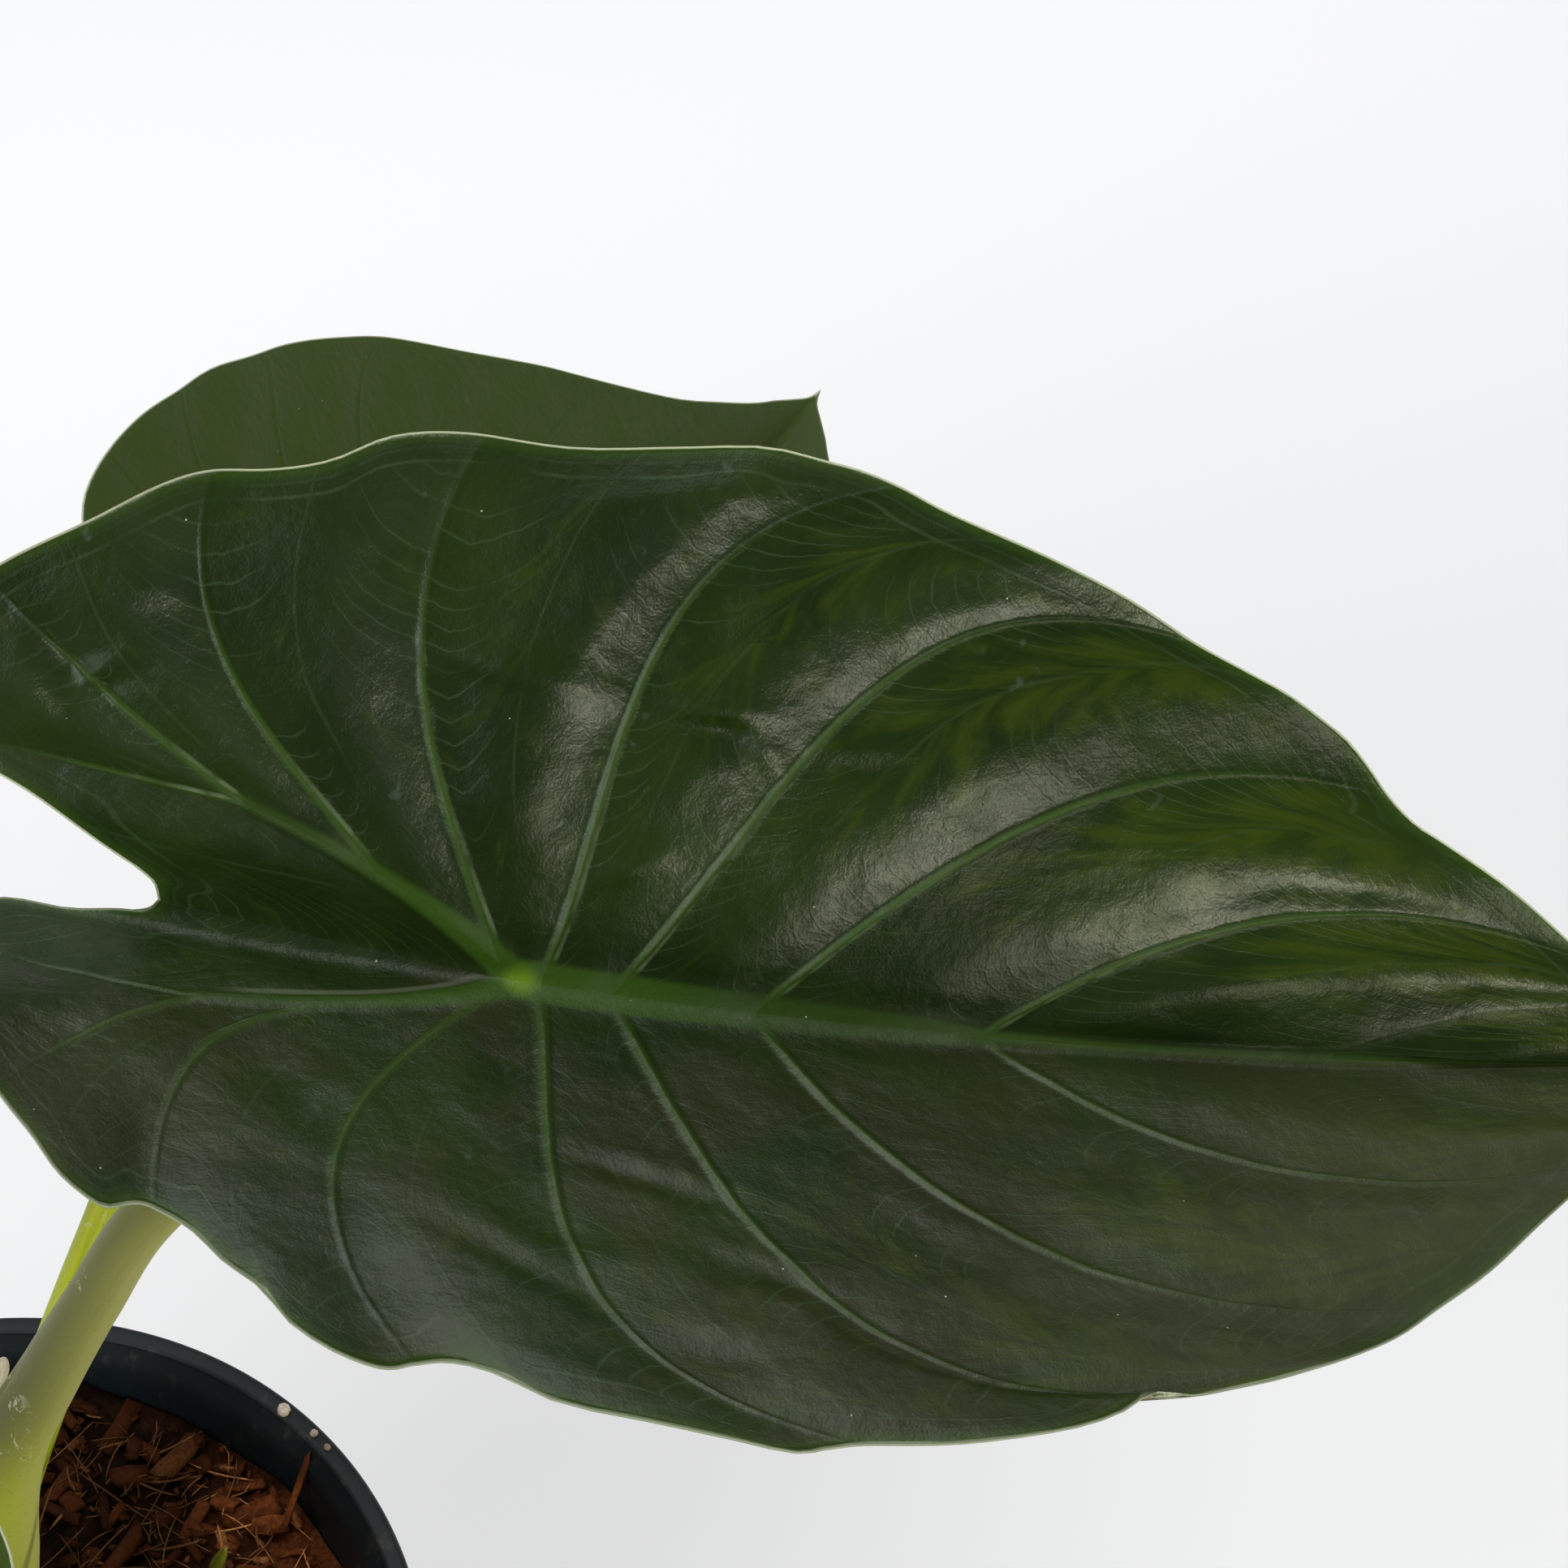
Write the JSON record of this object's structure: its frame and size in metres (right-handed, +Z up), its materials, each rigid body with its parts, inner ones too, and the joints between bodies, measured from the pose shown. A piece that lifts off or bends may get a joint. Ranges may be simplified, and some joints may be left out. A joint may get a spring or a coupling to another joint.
{
  "type": "potted alocasia wentii",
  "caption": "Potted aroid house plant: large quilted shield-shaped leaves on fleshy petioles in a round nursery pot of coir and bark soil.",
  "frame": {"origin": "middle of the pot's foot, on the surface that the pot stands on", "axes": "+Z up, +X along the midrib of the large front leaf, +Y away from the viewer"},
  "size_m": [0.5691, 0.5671, 0.4594],
  "materials": {
    "pot": "satin",
    "soil": "matte",
    "corm": "satin",
    "petiole": "satin",
    "leaf": "satin",
    "dry_sheath": "matte",
    "young_shoot": "satin"
  },
  "bodies": {
    "root": {"pot": "pot", "soil": "soil", "corm": "corm", "petiole_1": "petiole", "petiole_2": "petiole", "petiole_3": "petiole", "petiole_4": "petiole", "leaf_1": "leaf", "leaf_2": "leaf", "leaf_3": "leaf", "leaf_4": "leaf", "dry_sheath": "dry_sheath", "young_shoot": "young_shoot"}
  },
  "joints": []
}
